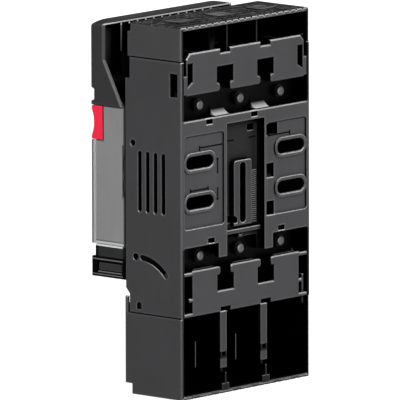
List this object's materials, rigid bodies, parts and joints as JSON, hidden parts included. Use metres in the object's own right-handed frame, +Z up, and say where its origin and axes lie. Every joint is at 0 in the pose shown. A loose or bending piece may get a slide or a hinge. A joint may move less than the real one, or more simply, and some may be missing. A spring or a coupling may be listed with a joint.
{
  "type": "fuse switch disconnector",
  "caption": "Black switch disconnector for knife-blade fuse-links on a mounting plate, with terminal covers, a hinged lid with grip, grey hood and red slide.",
  "frame": {"origin": "centre of the four mounting slots, on the mounting face at the back", "axes": "+X to the right seen from the front, +Y out of the back into the mounting plate, +Z up"},
  "size_m": [0.106, 0.0652, 0.204],
  "materials": {
    "black_moulding": "fine spark-eroded texture, glass-filled polyamide",
    "lid_moulding": "fine spark-eroded texture",
    "hood_grey": "satin grey polycarbonate",
    "clear_window": "clear polycarbonate",
    "red_moulding": "satin red polyamide",
    "shutter_grey": "fine matt",
    "arc_chute_board": "thermoset, dull",
    "fuse_ceramic": "glazed steatite",
    "fuse_plate": "rolled sheet",
    "silvered_copper": "silver-plated, brushed by insertion",
    "tinned_copper": "silver-plated copper",
    "spring_steel": "blued spring strip",
    "zinc_steel": "zinc-plated"
  },
  "bodies": {
    "base": {"base_housing": "black_moulding", "upper_contact_left": "tinned_copper", "upper_contact_middle": "tinned_copper", "upper_contact_right": "tinned_copper", "lower_contact_left": "tinned_copper", "lower_contact_middle": "tinned_copper", "lower_contact_right": "tinned_copper", "upper_jaw_springs_left": "spring_steel", "upper_jaw_springs_middle": "spring_steel", "upper_jaw_springs_right": "spring_steel", "lower_jaw_springs_left": "spring_steel", "lower_jaw_springs_middle": "spring_steel", "lower_jaw_springs_right": "spring_steel", "arc_chute_left": "arc_chute_board", "arc_chute_middle": "arc_chute_board", "arc_chute_right": "arc_chute_board", "arc_plates_left": "zinc_steel", "arc_plates_middle": "zinc_steel", "arc_plates_right": "zinc_steel", "contact_screws": "zinc_steel", "terminal_bolts": "zinc_steel", "terminal_washers": "zinc_steel", "terminal_nuts": "zinc_steel"},
    "lid": {"lid_frame": "lid_moulding", "hinge_foot": "lid_moulding", "lid_handle": "lid_moulding", "hood": "hood_grey", "front_window": "clear_window", "stop_pins": "zinc_steel", "fuse_grips_left": "lid_moulding", "fuse_grips_middle": "lid_moulding", "fuse_grips_right": "lid_moulding", "fuse_body_left": "fuse_ceramic", "fuse_body_middle": "fuse_ceramic", "fuse_body_right": "fuse_ceramic", "fuse_end_plates_left": "fuse_plate", "fuse_end_plates_middle": "fuse_plate", "fuse_end_plates_right": "fuse_plate", "fuse_blades_left": "silvered_copper", "fuse_blades_middle": "silvered_copper", "fuse_blades_right": "silvered_copper"},
    "release_bar": {"release_bar": "red_moulding"},
    "upper_cover": {"upper_terminal_cover": "black_moulding"},
    "lower_cover": {"lower_terminal_cover": "black_moulding"},
    "shutter_left": {"probe_shutter_left": "shutter_grey"},
    "shutter_middle": {"probe_shutter_middle": "shutter_grey"},
    "shutter_right": {"probe_shutter_right": "shutter_grey"}
  },
  "joints": [
    {"name": "lid_hinge", "type": "hinge", "parent": "base", "child": "lid", "pos_m": [0, -0.0306, -0.0688], "axis": [1, 0, 0], "range_deg": [0, 42]},
    {"name": "release_bar_slide", "type": "slide", "parent": "lid", "child": "release_bar", "axis": [1, 0, 0], "range_m": [0, 0.006]},
    {"name": "upper_cover_slide", "type": "slide", "parent": "base", "child": "upper_cover", "axis": [0, 0, 1], "range_m": [0, 0.02]},
    {"name": "lower_cover_slide", "type": "slide", "parent": "base", "child": "lower_cover", "axis": [0, 0, -1], "range_m": [0, 0.02]},
    {"name": "shutter_slide_left", "type": "slide", "parent": "lid", "child": "shutter_left", "axis": [0, 0, 1], "range_m": [0, 0.006]},
    {"name": "shutter_slide_middle", "type": "slide", "parent": "lid", "child": "shutter_middle", "axis": [0, 0, 1], "range_m": [0, 0.006]},
    {"name": "shutter_slide_right", "type": "slide", "parent": "lid", "child": "shutter_right", "axis": [0, 0, 1], "range_m": [0, 0.006]}
  ]
}
